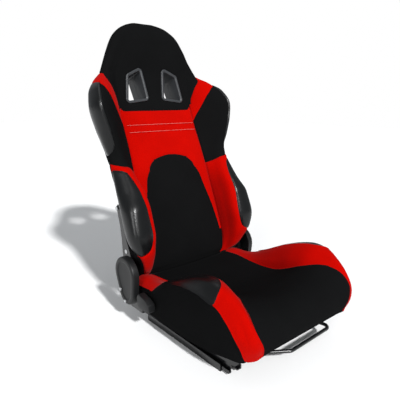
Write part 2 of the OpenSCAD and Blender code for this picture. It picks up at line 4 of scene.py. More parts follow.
import bmesh
import bpy
import numpy as np
from mathutils import Matrix, Vector, kdtree

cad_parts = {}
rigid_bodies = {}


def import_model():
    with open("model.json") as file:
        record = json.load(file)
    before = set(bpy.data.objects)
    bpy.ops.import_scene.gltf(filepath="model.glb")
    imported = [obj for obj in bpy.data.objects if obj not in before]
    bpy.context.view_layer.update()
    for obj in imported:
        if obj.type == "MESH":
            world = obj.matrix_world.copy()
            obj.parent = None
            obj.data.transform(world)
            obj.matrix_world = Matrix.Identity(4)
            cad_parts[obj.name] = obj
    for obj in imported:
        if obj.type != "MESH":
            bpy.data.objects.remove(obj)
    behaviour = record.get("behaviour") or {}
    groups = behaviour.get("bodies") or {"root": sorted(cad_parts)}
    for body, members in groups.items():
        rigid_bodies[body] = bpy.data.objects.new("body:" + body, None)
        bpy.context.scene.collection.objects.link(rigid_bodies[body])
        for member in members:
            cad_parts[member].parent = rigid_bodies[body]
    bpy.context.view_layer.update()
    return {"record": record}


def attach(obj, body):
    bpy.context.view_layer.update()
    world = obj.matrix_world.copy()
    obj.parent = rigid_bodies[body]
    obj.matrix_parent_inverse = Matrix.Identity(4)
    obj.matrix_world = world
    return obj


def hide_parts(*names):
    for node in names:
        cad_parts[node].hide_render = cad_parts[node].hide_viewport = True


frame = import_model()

# Lengths are in millimetres until a mesh is made. The seat faces -Y and +X is the sitter's left.
HINGE = (211.0, 146.0)
LEAN = math.radians(18)

# ---------------------------------------------------------------- shape of the upholstery

# Half sections across the back: distance up from the recline axis, depth in the middle, then
# width and depth of the seam, inner wall, inner crest, outer crest, side, waist and rear corner
BACK = [
    [-12, 6, [150, 4], [154, 8], [158, 14], [172, 16], [192, 6], [194, -6], [162, -40]],
    [0, 12, [152, 14], [160, 22], [168, 44], [188, 46], [199, 14], [196, -2], [166, -50]],
    [30, 22, [154, 20], [160, 40], [170, 74], [204, 78], [206, 30], [200, 2], [168, -58]],
    [60, 27, [156, 22], [160, 52], [170, 94], [220, 100], [228, 52], [203, 6], [170, -62]],
    [115, 31, [153, 24], [156, 60], [166, 108], [232, 113], [241, 62], [205, 8], [170, -62]],
    [180, 32, [150, 24], [154, 60], [166, 108], [227, 112], [241, 62], [206, 8], [171, -62]],
    [228, 32, [148, 24], [154, 54], [167, 98], [215, 98], [237, 56], [207, 7], [172, -62]],
    [240, 32, [147, 24], [154, 52], [168, 94], [212, 94], [236, 54], [208, 6], [173, -62]],
    [300, 30, [145, 24], [158, 42], [178, 70], [208, 74], [230, 42], [212, 0], [177, -62]],
    [345, 27, [143, 22], [164, 36], [188, 58], [210, 61], [229, 38], [214, -4], [181, -62]],
    [400, 20, [141, 17], [170, 40], [205, 72], [230, 76], [242, 42], [222, -6], [187, -62]],
    [450, 12, [140, 11], [172, 42], [214, 84], [244, 90], [254, 46], [232, -6], [192, -62]],
    [500, 7, [140, 7], [172, 42], [216, 86], [252, 97], [261, 46], [236, -8], [194, -62]],
    [550, 6, [140, 8], [168, 36], [208, 70], [241, 82], [251, 36], [226, -12], [188, -62]],
    [590, 9, [140, 11], [160, 26], [186, 42], [212, 48], [225, 18], [200, -20], [160, -62]],
    [625, 14, [138, 16], [150, 20], [166, 24], [182, 20], [190, 6], [174, -24], [134, -61]],
    [660, 24, [120, 24], [134, 25], [150, 26], [163, 20], [168, 3], [156, -28], [122, -60]],
    [707, 34, [98, 35], [114, 36], [129, 35], [140, 27], [145, 8], [132, -26], [96, -60]],
    [745, 40, [82, 40], [97, 40], [110, 37], [119, 29], [123, 10], [108, -26], [72, -56]],
    [775, 36, [58, 36], [70, 35], [80, 32], [87, 24], [90, 8], [76, -24], [46, -48]],
    [792, 26, [30, 26], [38, 25], [46, 22], [52, 15], [55, 3], [46, -20], [28, -36]],
    [802, 8, [10, 8], [14, 7], [18, 6], [21, 3], [22, -4], [18, -12], [12, -18]]]

# Rows along the seat from its rear to its front hem: middle, seam, inner wall, inner crest,
# outer crest, side and lower edge, as X, Y and Z
SEAT = [
    [[0, 197, 124], [157, 197, 130], [166, 197, 134], [176, 197, 137],
        [190, 197, 136], [206, 197, 118], [205, 197, 58]],
    [[0, 173, 125], [157, 173, 134], [166, 173, 138], [177, 173, 142],
        [194, 173, 141], [208, 173, 122], [205, 173, 56]],
    [[0, 123, 127], [155, 123, 137], [165, 123, 140], [178, 123, 144],
        [196, 123, 143], [210, 123, 126], [206, 123, 54]],
    [[0, 73, 128], [150, 73, 137], [162, 73, 146], [178, 73, 155],
        [198, 73, 155], [213, 73, 130], [207, 73, 54]],
    [[0, 23, 130], [147, 23, 138], [156, 23, 157], [176, 23, 177],
        [200, 23, 177], [217, 23, 142], [208, 23, 54]],
    [[0, -17, 132], [146, -17, 141], [152, -17, 168], [174, -17, 197],
        [203, -17, 196], [221, -17, 154], [208, -17, 56]],
    [[0, -57, 138], [145, -57, 148], [150, -57, 180], [174, -57, 215],
        [206, -57, 214], [225, -57, 166], [209, -57, 58]],
    [[0, -102, 148], [142, -102, 166], [150, -102, 198], [176, -102, 231],
        [210, -102, 230], [229, -102, 178], [210, -102, 62]],
    [[0, -147, 160], [143, -147, 187], [156, -147, 212], [182, -147, 240],
        [214, -147, 238], [231, -147, 186], [210, -147, 68]],
    [[0, -189, 168], [160, -189, 200], [172, -189, 217], [190, -189, 234],
        [213, -189, 230], [229, -189, 182], [208, -189, 75]],
    [[0, -217, 168], [175, -217, 200], [181, -218, 209], [192, -220, 219],
        [210, -217, 214], [225, -214, 172], [206, -213, 79]],
    [[0, -243, 161], [186, -245, 190], [189, -246, 194], [195, -247, 198],
        [207, -241, 192], [219, -234, 158], [203, -229, 80]],
    [[0, -261, 148], [189, -265, 170], [192, -266, 171], [197, -265, 172],
        [205, -258, 166], [214, -247, 143], [200, -239, 81]],
    [[0, -272, 132], [183, -276, 148], [188, -277, 147], [194, -276, 146],
        [202, -269, 142], [208, -256, 126], [197, -245, 82]],
    [[0, -276, 114], [170, -279, 122], [178, -279, 120], [186, -277, 118],
        [194, -270, 115], [200, -258, 105], [194, -248, 83]],
    [[0, -270, 96], [160, -270, 96], [168, -269, 93], [176, -267, 90],
        [184, -262, 88], [190, -255, 86], [190, -249, 84]]]

FOAM_BOTTOM = 92.0
SKIRT = 14.0
FAN_ROW = 10


def steady(x, y, at):
    """A smooth curve through the rows of y that never overshoots them."""
    step = np.diff(x)[:, None]
    slope = np.diff(y, axis=0) / step
    m = np.zeros_like(y)
    both = slope[:-1] * slope[1:]
    total = slope[:-1] + slope[1:]
    m[1:-1] = np.where(both > 0, 2 * both / np.where(total == 0, 1, total), 0)
    m[0], m[-1] = slope[0], slope[-1]
    i = np.clip(np.searchsorted(x, at, side="right") - 1, 0, len(x) - 2)
    h = step[i]
    f = ((at - x[i])[:, None]) / h
    return (y[i] * (1 + 2 * f) * (1 - f) ** 2 + m[i] * h * f * (1 - f) ** 2
            + y[i + 1] * f * f * (3 - 2 * f) + m[i + 1] * h * f * f * (f - 1))


def curve(points, u):
    """The point at u[k] of the smooth curve through points[k]."""
    last = points.shape[1] - 1
    ends = np.concatenate([2 * points[:, :1] - points[:, 1:2], points,
                           2 * points[:, -1:] - points[:, -2:-1]], axis=1)
    i = np.clip(u.astype(int), 0, last - 1)
    f = (u - i)[:, None]
    row = np.arange(len(u))
    a, b, c, d = (ends[row, i + k] for k in range(4))
    return (2 * b + (c - a) * f + (2 * a - 5 * b + 4 * c - d) * f ** 2
            + (3 * b - a - 3 * c + d) * f ** 3) / 2


BACK_S = np.array([row[0] for row in BACK], float)
BACK_COLUMNS = np.array([[row[1]] + [v for p in row[2:] for v in p] for row in BACK], float)


def leaned(x, depth, s):
    """X, Y and Z of points of the back, from width, depth and distance up."""
    return np.stack([x, HINGE[0] + s * math.sin(LEAN) - depth * math.cos(LEAN),
                     HINGE[1] + s * math.cos(LEAN) + depth * math.sin(LEAN)], axis=-1)


def back_at(s, t):
    """Points of the back's skin. t is 0 in the middle, 1 to 7 on the columns, 8 behind."""
    rows = steady(BACK_S, BACK_COLUMNS, s)
    a = np.abs(t)
    cols = rows[:, 1:].reshape(-1, 7, 2)
    side = curve(cols, np.clip(a - 1, 0, 6))
    seam = cols[:, 0]
    x = np.where(a < 1, a * seam[:, 0], side[:, 0])
    d = np.where(a < 1, seam[:, 1] + (rows[:, 0] - seam[:, 1]) * (1 - np.minimum(a, 1) ** 2.4),
                 side[:, 1])
    f = np.clip(8 - a, 0, 1)
    x = np.where(a > 7, cols[:, 6, 0] * f, x)
    d = np.where(a > 7, cols[:, 6, 1] - 2.5 * (1 - f ** 2), d)
    return leaned(x * np.where(t < 0, -1, 1), d, s)


def seat_rows():
    rows = []
    for i, row in enumerate(SEAT):
        low = SEAT[min(i, FAN_ROW)][0][1] - 7.4 * max(i - FAN_ROW, 0)
        x = max(row[6][0] - SKIRT, row[1][0] + 2)
        rows.append(row + [[x, low, row[6][2]], [x, low, FOAM_BOTTOM], [0, low, FOAM_BOTTOM]])
    return np.array(rows, float)


SEAT_ROWS = seat_rows()


def seat_at(k, t):
    """Points of the seat's skin. k is the row, t is 0 in the middle and 6 on the lower edge."""
    flat = SEAT_ROWS.reshape(len(SEAT_ROWS), -1)
    rows = curve(np.repeat(flat[None], len(k), 0), k).reshape(-1, 10, 3)
    a = np.abs(t)
    side = curve(rows[:, 1:7], np.clip(a - 1, 0, 5))
    mid, seam = rows[:, 0], rows[:, 1]
    f = np.minimum(a, 1)[:, None]
    middle = np.concatenate([seam[:, :1] * f, mid[:, 1:] + (seam[:, 1:] - mid[:, 1:]) * f ** 2.3], 1)
    j = np.clip(a.astype(int), 6, 8)
    pick = np.arange(len(k))
    g = (a - j)[:, None]
    under = rows[pick, j] * (1 - g) + rows[pick, j + 1] * g
    p = np.where(f < 1, middle, np.where(a[:, None] <= 6, side, under))
    return p * np.stack([np.where(t < 0, -1, 1), np.ones_like(t), np.ones_like(t)], axis=-1)


# ---------------------------------------------------------------- skins cut into panels

class Skin:
    """A closed mesh whose vertices know where they lie: u up or along, a across."""

    def __init__(self, at, us, across, cap):
        ring = np.array([-t for t in across[:0:-1]] + list(across[:-1]))
        m = len(ring)
        u = np.repeat(us, m)
        t = np.tile(ring, len(us))
        self.at = at
        self.co = [Vector(p) for p in at(u, t)]
        self.ua = [(float(p), abs(float(q))) for p, q in zip(u, t)]
        self.faces = []
        for r in range(len(us) - 1):
            for c in range(m):
                d = (c + 1) % m
                self.faces.append((r * m + c, r * m + d, (r + 1) * m + d, (r + 1) * m + c))
        for first, rows in ((0, cap[0]), ((len(us) - 1) * m, cap[1])):
            flip = first > 0
            base = list(range(first, first + m))
            centre = sum((self.co[i] for i in base), Vector()) / m
            for scale, shift in rows:
                fresh = list(range(len(self.co), len(self.co) + m))
                for i in range(first, first + m):
                    self.co.append(centre + (self.co[i] - centre) * scale + Vector(shift))
                    self.ua.append(self.ua[i])
                self.strip(base, fresh, flip)
                base = fresh
            hub = len(self.co)
            self.co.append(sum((self.co[i] for i in base), Vector()) / m)
            self.ua.append((self.ua[first][0], 8.0))
            for c in range(m):
                face = (base[c], base[(c + 1) % m], hub)
                self.faces.append(face if flip else face[::-1])

    def strip(self, low, high, flip):
        m = len(low)
        for c in range(m):
            d = (c + 1) % m
            face = (low[c], low[d], high[d], high[c])
            self.faces.append(face if flip else face[::-1])

    def cut(self, field):
        """Splits the faces along the line where the field is 0."""
        field = np.where(np.abs(field) < 0.35, 0, field).tolist()
        made, out = {}, []
        for face in self.faces:
            values = [field[i] for i in face]
            if min(values) >= 0 or max(values) <= 0:
                out.append(face)
                continue
            plus, minus = [], []
            for a, b in zip(face, face[1:] + face[:1]):
                if field[a] >= 0:
                    plus.append(a)
                if field[a] <= 0:
                    minus.append(a)
                if field[a] * field[b] < 0:
                    key = (min(a, b), max(a, b))
                    if key not in made:
                        w = field[key[0]] / (field[key[0]] - field[key[1]])
                        made[key] = len(self.co)
                        self.co.append(self.co[key[0]].lerp(self.co[key[1]], w))
                        p, q = self.ua[key[0]], self.ua[key[1]]
                        self.ua.append((p[0] + (q[0] - p[0]) * w, p[1] + (q[1] - p[1]) * w))
                    plus.append(made[key])
                    minus.append(made[key])
            out += [tuple(part) for part in (plus, minus) if len(part) > 2]
        self.faces = out

    def label(self, name_of):
        """The panel that each face belongs to."""
        flat = np.array([(*self.ua[i], *self.co[i]) for face in self.faces for i in face])
        counts = np.array([len(face) for face in self.faces])
        starts = np.concatenate([[0], np.cumsum(counts)[:-1]])
        u, a, x, y, z = (np.add.reduceat(flat, starts, axis=0) / counts[:, None]).T
        names, sided = name_of(u, a, np.stack([x, y, z], axis=-1))
        side = np.where(x > 0, "_left", "_right")
        return np.where(sided, np.char.add(names, side), names).tolist()


def near(points):
    tree = kdtree.KDTree(len(points))
    for i, p in enumerate(points):
        tree.insert(p, i)
    tree.balance()
    return tree


def inside(outline, u, a):
    """Whether each point lies inside the outline, a closed list of (u, a)."""
    result = np.zeros(len(u), bool)
    for (u0, a0), (u1, a1) in zip(outline, outline[1:] + outline[:1]):
        crosses = (a0 > a) != (a1 > a)
        with np.errstate(divide="ignore", invalid="ignore"):
            result ^= crosses & (u < (u1 - u0) * (a - a0) / (a1 - a0) + u0)
    return result


def smooth_line(points, closed, steps=6):
    p = np.array(points, float)
    n = len(p)
    if closed:
        p = np.concatenate([p[-1:], p, p[:2]])
    else:
        p = np.concatenate([2 * p[:1] - p[1:2], p, 2 * p[-1:] - p[-2:-1]])
    out = []
    for i in range(n if closed else n - 1):
        a, b, c, d = p[i:i + 4]
        for k in range(steps):
            f = k / steps
            out.append(tuple((2 * b + (c - a) * f + (2 * a - 5 * b + 4 * c - d) * f * f
                              + (3 * b - a - 3 * c + d) * f ** 3) / 2))
    if not closed:
        out.append(tuple(p[-2]))
    return out


def cut_by(skin, outline):
    """Cuts the skin, on both sides, along an outline given as (u, a)."""
    spots = []
    for (u0, a0), (u1, a1) in zip(outline, outline[1:] + outline[:1]):
        ends = skin.at(np.array([u0, u1]), np.array([a0, a1]))
        n = max(2, int(np.linalg.norm(ends[1] - ends[0]) / 0.7))
        f = np.linspace(0, 1, n, endpoint=False)
        spots.append(skin.at(u0 + (u1 - u0) * f, a0 + (a1 - a0) * f))
    spots = np.concatenate(spots)
    tree = near([Vector(p) for p in spots] + [Vector((-p[0], p[1], p[2])) for p in spots])
    distance = np.array([tree.find(p)[2] for p in skin.co])
    ua = np.array(skin.ua)
    skin.cut(np.where(inside(outline, ua[:, 0], ua[:, 1]), distance, -distance))


def panels(skin, name_of, puff, reach):
    """Sews the skin's panels: a groove along each seam, and a soft swell away from it.

    Gives each panel's name, with the faces, the outer points and the inner points."""
    def seams(names):
        by_edge = {}
        for name, face in zip(names, skin.faces):
            for a, b in zip(face, face[1:] + face[:1]):
                by_edge.setdefault((min(a, b), max(a, b)), set()).add(name)
        spots = []
        for (a, b), found in by_edge.items():
            if len(found) > 1:
                p, q = skin.co[a], skin.co[b]
                n = max(1, int((q - p).length))
                spots += [p.lerp(q, k / n) for k in range(n)]
        return near(spots)

    tree = seams(skin.label(name_of))
    skin.cut(np.array([tree.find(p)[2] for p in skin.co]) - 3.2)
    names = skin.label(name_of)
    away = [tree.find(p)[2] for p in skin.co]
    normals = [Vector() for _ in skin.co]
    for face in skin.faces:
        p = [skin.co[i] for i in face]
        n = Vector()
        for a, b in zip(p, p[1:] + p[:1]):
            n += a.cross(b)
        for i in face:
            normals[i] += n
    outer, inner = [], []
    for p, n, d in zip(skin.co, normals, away):
        n.normalize()
        moved = -puff * math.exp(-d / reach) - 1.8 * math.exp(-(d / 2.6) ** 2)
        outer.append(p + n * moved)
        inner.append(p + n * (moved - 1.8))
    groups = {}
    for name, face in zip(names, skin.faces):
        if name != "hole":
            groups.setdefault(name, []).append(face)
    return groups, outer, inner


def mesh_piece(name, points, faces, body, material, smooth=True, sharp=None):
    mesh = bpy.data.meshes.new(name)
    mesh.from_pydata([tuple(c / 1000 for c in p) for p in points], [], faces)
    mesh.validate()
    work = bmesh.new()
    work.from_mesh(mesh)
    bmesh.ops.recalc_face_normals(work, faces=work.faces)
    work.to_mesh(mesh)
    work.free()
    for polygon in mesh.polygons:
        polygon.use_smooth = smooth
    if sharp:
        mesh.set_sharp_from_angle(angle=math.radians(sharp))
    piece = bpy.data.objects.new(name, mesh)
    bpy.context.scene.collection.objects.link(piece)
    mesh.materials.append(material)
    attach(piece, body)
    return piece


def shell(name, faces, outer, inner, body, material):
    """A closed padded panel of the given faces, 1.8 mm thick."""
    edges = {}
    for face in faces:
        for a, b in zip(face, face[1:] + face[:1]):
            edges[(a, b)] = True
    used = sorted({i for face in faces for i in face})
    place = {v: k for k, v in enumerate(used)}
    n = len(used)
    points = [outer[i] for i in used] + [inner[i] for i in used]
    out = [tuple(place[i] for i in face) for face in faces]
    out += [tuple(place[i] + n for i in face[::-1]) for face in faces]
    for a, b in edges:
        if (b, a) not in edges:
            out.append((place[b], place[a], place[a] + n, place[b] + n))
    piece = mesh_piece(name, points, out, body, material, sharp=60)
    return piece


# ---------------------------------------------------------------- materials

def node_material(name, colour, rough, metal=0.0, coat=0.0, sheen=0.0, specular=0.5,
                  grain=None, blotch=0.0):
    """A principled material. grain is (scale, strength, distance in mm) of its bumps."""
    material = bpy.data.materials.new(name)
    material.use_nodes = True
    tree = material.node_tree
    shader = tree.nodes["Principled BSDF"]
    shader.inputs["Base Color"].default_value = (*colour, 1)
    shader.inputs["Roughness"].default_value = rough
    shader.inputs["Metallic"].default_value = metal
    shader.inputs["Coat Weight"].default_value = coat
    shader.inputs["Coat Roughness"].default_value = 0.08
    shader.inputs["Sheen Weight"].default_value = sheen
    shader.inputs["Sheen Roughness"].default_value = 0.4
    shader.inputs["Specular IOR Level"].default_value = specular
    place = tree.nodes.new("ShaderNodeTexCoord")
    if grain:
        kind, scale, strength, height = grain
        if kind == "pebble":
            pattern = tree.nodes.new("ShaderNodeTexVoronoi")
            pattern.feature = "SMOOTH_F1"
            output = pattern.outputs["Distance"]
        else:
            pattern = tree.nodes.new("ShaderNodeTexNoise")
            pattern.inputs["Detail"].default_value = 3
            output = pattern.outputs["Fac"]
        pattern.inputs["Scale"].default_value = scale
        tree.links.new(place.outputs["Object"], pattern.inputs["Vector"])
        bump = tree.nodes.new("ShaderNodeBump")
        bump.inputs["Strength"].default_value = strength
        bump.inputs["Distance"].default_value = height / 1000
        tree.links.new(output, bump.inputs["Height"])
        tree.links.new(bump.outputs["Normal"], shader.inputs["Normal"])
    if blotch:
        cloud = tree.nodes.new("ShaderNodeTexNoise")
        cloud.inputs["Scale"].default_value = 14
        cloud.inputs["Detail"].default_value = 4
        tree.links.new(place.outputs["Object"], cloud.inputs["Vector"])
        mix = tree.nodes.new("ShaderNodeMix")
        mix.data_type = "RGBA"
        mix.inputs["A"].default_value = (*[c * (1 - blotch) for c in colour], 1)
        mix.inputs["B"].default_value = (*[min(1, c * (1 + blotch)) for c in colour], 1)
        tree.links.new(cloud.outputs["Fac"], mix.inputs["Factor"])
        tree.links.new(mix.outputs["Result"], shader.inputs["Base Color"])
    return material


CLOTH = node_material("black_cloth", (0.0042, 0.0043, 0.0045), 0.95, sheen=0.0, specular=0.02,
                      grain=("noise", 1400, 0.5, 0.25), blotch=0.15)
SUEDE = node_material("red_suede", (0.345, 0.0015, 0.0003), 0.95, sheen=0.035, specular=0.01,
                      grain=("noise", 700, 0.35, 0.3), blotch=0.14)
LEATHER = node_material("black_leather", (0.003, 0.0033, 0.0036), 0.3, specular=0.3,
                        grain=("pebble", 520, 0.55, 0.35))
PLASTIC = node_material("dark_plastic", (0.006, 0.0063, 0.0067), 0.42, specular=0.22,
                        grain=("noise", 900, 0.12, 0.1))
PLASTIC_GREY = node_material("grey_plastic", (0.026, 0.028, 0.031), 0.4, specular=0.4,
                             grain=("noise", 900, 0.1, 0.1))
STEEL = node_material("black_steel", (0.004, 0.004, 0.0045), 0.28, coat=0.25, specular=0.35,
                      grain=("noise", 60, 0.05, 0.3))
ZINC = node_material("zinc_steel", (0.5, 0.51, 0.52), 0.32, metal=1.0,
                     grain=("noise", 200, 0.05, 0.2))
THREAD = node_material("pink_thread", (0.6, 0.17, 0.15), 0.7, sheen=0.2,
                       grain=("noise", 2000, 0.3, 0.1))

# ---------------------------------------------------------------- the back

HOLE = [((51, 629), 4.0), ((87, 612), 4.0), ((99, 542), 4.0), ((40, 549), 4.0)]


def hull(circles, grow, steps=96):
    """The outline of a band pulled round circles, each grown by the same amount."""
    out = []
    for k in range(steps):
        a = 2 * math.pi * k / steps
        n = (math.cos(a), math.sin(a))
        (cx, cy), r = max(circles, key=lambda c: c[0][0] * n[0] + c[0][1] * n[1] + c[1])
        out.append((cx + (r + grow) * n[0], cy + (r + grow) * n[1]))
    return out


def hole_distance(points, grow):
    """How far each (x, s) is outside the hole's outline grown by grow; negative inside."""
    result = np.full(len(points), -1e9)
    for k in range(96):
        a = 2 * math.pi * k / 96
        n = np.array([math.cos(a), math.sin(a)])
        support = max(c[0][0] * n[0] + c[0][1] * n[1] + c[1] for c in HOLE) + grow
        result = np.maximum(result, points @ n - support)
    return result


HOLE_EDGE = 4.5


def width_and_up(points):
    """The distance from the middle and the distance up the back of each point."""
    return np.stack([np.abs(points[:, 0]), (points[:, 1] - HINGE[0]) * math.sin(LEAN)
                     + (points[:, 2] - HINGE[1]) * math.cos(LEAN)], axis=-1)


HEAD_LINE = [(504, -1), (504, 0.6), (506, 0.92), (523, 1.06), (544, 1.24), (563, 1.6), (582, 2.12),
             (604, 3.1), (620, 3.8), (626, 5), (632, 6), (636, 7), (636, 7.6)]
BAND_LINE = [(456, 0.8), (464.5, 1.0), (482.5, 1.32), (499, 1.68), (514, 1.96), (530, 2.24),
             (546, 2.56), (565, 3.15), (580, 4.2), (586, 5), (590, 6), (592, 7), (592, 7.6)]
WAIST_LINE = [(308, 0.9), (308, 1.4), (312, 2.3), (318, 3), (322, 4), (336, 5.2), (340, 6),
              (340, 7), (340, 7.6)]
UPPER_PATCH = [(584, 4.3), (574, 3.75), (540, 3.6), (484, 3.65), (430, 3.55), (400, 3.6),
               (380, 3.9), (366, 4.5), (362, 5.2), (372, 5.9), (410, 6.3), (480, 6.5), (550, 6.4),
               (580, 5.6), (588, 4.9)]
LOWER_PATCH = [(316, 4.95), (306, 4.0), (296, 3.6), (268, 3.4), (224, 3.3), (172, 3.2),
               (100, 3.15), (64, 3.35), (50, 3.9), (54, 4.4), (90, 4.9), (150, 5.3), (220, 5.45),
               (280, 5.4), (310, 5.2)]
SIDE_LINE = [(-30, 4.3), (4, 4.3), (45, 4.35), (60, 4.5), (150, 4.9), (230, 5.15), (300, 5.3),
             (345, 5.35), (360, 5.4)]
INSERT = [(350, 0), (347, 30), (338, 62), (318, 85), (305, 90), (289, 100), (268, 109), (228, 118),
          (186, 130), (150, 138), (110, 145), (80, 150), (50, 156), (20, 165), (-10, 170)]


def closed_round(line, *corners):
    return smooth_line(line, closed=False) + list(corners)


head_area = closed_round(HEAD_LINE, (900, 7.6), (900, -1))
band_area = closed_round(BAND_LINE, (900, 7.6), (900, 0.8))
waist_area = closed_round(WAIST_LINE, (-60, 7.6), (-60, 0.9))
side_area = closed_round(SIDE_LINE, (360, 7.6), (-30, 7.6))
upper_patch = smooth_line(UPPER_PATCH, closed=True)
lower_patch = smooth_line(LOWER_PATCH, closed=True)


def insert_line():
    s = np.array([p[0] for p in INSERT], float)
    wide = np.array([p[1] for p in INSERT], float)
    seam = steady(BACK_S, BACK_COLUMNS, s)[:, 1]
    t = np.minimum(wide / seam, 1.02)
    line = [(a, b) for a, b in zip(s, t)]
    line = [(p, -q) for p, q in line[2:0:-1]] + line
    return closed_round(line, (-60, 1.02), (-60, -1), (line[0][0], -1))


insert_area = insert_line()


def back_panel(u, a, centre):
    below = inside(waist_area, u, a)
    names = np.select(
        [(hole_distance(width_and_up(centre), HOLE_EDGE) < 0) & ((a < 1) | (a > 7)), a > 7, inside(head_area, u, a), inside(upper_patch, u, a), inside(lower_patch, u, a),
         (a < 1) & inside(insert_area, u, a), a < 1, inside(band_area, u, a), ~below,
         inside(side_area, u, a)],
        ["hole", "back_rear_cover", "head_cover", "bolster_patch_upper", "bolster_patch_lower",
         "back_insert", "back_yoke", "shoulder_band", "bolster_upper", "bolster_side"],
        "bolster_lower")
    return names, (a >= 1) & (a <= 7) & (names != "head_cover")


across = np.concatenate([np.linspace(0, 1, 31)[:-1], np.linspace(1, 7, 55)[:-1],
                         np.linspace(7, 8, 21)])
up = np.unique(np.concatenate([np.arange(-12, 800, 5.0), [796, 799, 801, 802]]))
back = Skin(back_at, up, across, (((0.98, (0, 0, -4)), (0.9, (0, 3, -12)), (0.75, (0, 5, -18)),
                                   (0.5, (0, 6, -21)), (0.2, (0, 6, -22))), ((0.6, (0, 0, 1.5)),)))
for area in (head_area, band_area, waist_area, side_area, upper_patch, lower_patch, insert_area):
    cut_by(back, area)


back.cut(hole_distance(width_and_up(np.array(back.co)), HOLE_EDGE))
groups, outer, inner = panels(back, back_panel, 2.0, 30)
BACK_MATERIALS = {
    "back_rear_cover": ("leather_black", LEATHER), "head_cover": ("cloth_black", CLOTH),
    "back_insert": ("cloth_black", CLOTH), "back_yoke": ("suede_red", SUEDE),
    "bolster_patch_upper": ("leather_black", LEATHER),
    "bolster_patch_lower": ("leather_black", LEATHER),
    "shoulder_band": ("suede_red", SUEDE), "bolster_upper": ("bolster_black", CLOTH),
    "bolster_side": ("bolster_black", CLOTH), "bolster_lower": ("suede_red", SUEDE),
}
for name, faces in groups.items():
    kind = name.replace("_left", "").replace("_right", "")
    slot, material = BACK_MATERIALS[kind]
    shell(name, faces, outer, inner, "backrest", material)
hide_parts("back_pad")
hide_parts("head_pad", "shoulder_pad")
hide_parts("rear_cover")
for side in ("left", "right"):
    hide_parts("back_bolster_" + side)

# ---------------------------------------------------------------- the seat

OUT_LINE = [(-1, 5.0), (0, 5.0), (2.1, 4.9), (2.6, 4.85), (3.0, 4.3), (3.4, 3.6), (4.5, 3.6), (5.7, 3.8),
            (7.4, 4.1), (8.3, 4.4), (8.7, 4.65), (9.24, 4.7), (10.26, 4.85), (11.58, 5.1), (13, 5.3),
            (14.34, 5.8), (15, 6), (16, 6.2)]
SEAT_PATCH = [(3.3, 3.75), (3.5, 3.4), (4.5, 3.15), (5.8, 3.2), (7.2, 3.15), (8.2, 3.2),
              (8.75, 3.6), (8.9, 4.1), (8.75, 4.7), (7.4, 4.6), (5.7, 4.4), (4.3, 4.15)]
out_area = closed_round(OUT_LINE, (16, 0.5), (-1, 0.5))
seat_patch = smooth_line(SEAT_PATCH, closed=True)


def seat_panel(u, a, centre):
    names = np.select([(a > 6) | (u < 0.001) | (u > len(SEAT) - 1.001), a < 1, inside(seat_patch, u, a), inside(out_area, u, a)],
                      ["seat_underside", "seat_centre", "seat_patch", "seat_red"], "seat_side")
    return names, names == np.select([names == "seat_centre", names == "seat_underside"], ["", ""],
                                     names)


across = np.concatenate([np.linspace(0, 1, 31)[:-1], np.linspace(1, 6, 46)[:-1],
                         np.linspace(6, 8, 9)[:-1], np.linspace(8, 9, 9)])
along = np.unique(np.concatenate([np.linspace(i, i + 1, n + 1) for i, n in enumerate(
    (5, 10, 10, 10, 8, 8, 9, 9, 8, 6, 5, 4, 4, 4, 4))]))
seat = Skin(seat_at, along, across, (((0.5, (0, 0, 0)),), ((0.5, (0, 0, 0)),)))
for area in (out_area, seat_patch):
    cut_by(seat, area)
groups, outer, inner = panels(seat, seat_panel, 2.0, 30)
SEAT_MATERIALS = {
    "seat_underside": ("cloth_black", CLOTH), "seat_centre": ("cloth_black", CLOTH),
    "seat_patch": ("leather_black", LEATHER), "seat_red": ("suede_red", SUEDE),
    "seat_side": ("cloth_black", CLOTH),
}
for name, faces in groups.items():
    slot, material = SEAT_MATERIALS[name.replace("_left", "").replace("_right", "")]
    shell(name, faces, outer, inner, "seat_base", material)
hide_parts("seat_pad")
for side in ("left", "right"):
    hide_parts("seat_bolster_" + side)

# ---------------------------------------------------------------- plastic and metal pieces


def ring_loft(name, rings, body, material, closed=False, sharp=35):
    """A solid through rings of points. closed joins the last ring to the first."""
    m = len(rings[0])
    points = [p for ring in rings for p in ring]
    n = len(rings)
    faces = []
    for k in range(n if closed else n - 1):
        for i in range(m):
            j = (i + 1) % m
            faces.append((k * m + i, k * m + j, (k + 1) % n * m + j, (k + 1) % n * m + i))
    if not closed:
        for k in (0, n - 1):
            hub = len(points)
            points.append(tuple(sum(p[c] for p in rings[k]) / m for c in range(3)))
            faces += [(k * m + i, k * m + (i + 1) % m, hub) for i in range(m)]
    return mesh_piece(name, points, faces, body, material, sharp=sharp)


FACE_TILT = math.tan(math.radians(6.3))


def face_depth(s, lift):
    return 13 + (s - 590) * FACE_TILT + lift


def hole_ring(side, grow, depth):
    flat = np.array([(side * x, s) for x, s in hull(HOLE, grow)])
    d = np.array([depth(s) for s in flat[:, 1]])
    return [tuple(p) for p in leaned(flat[:, 0], d, flat[:, 1])]


def raised(lift):
    return lambda s: face_depth(s, lift)


def at_depth(value):
    return lambda s: value


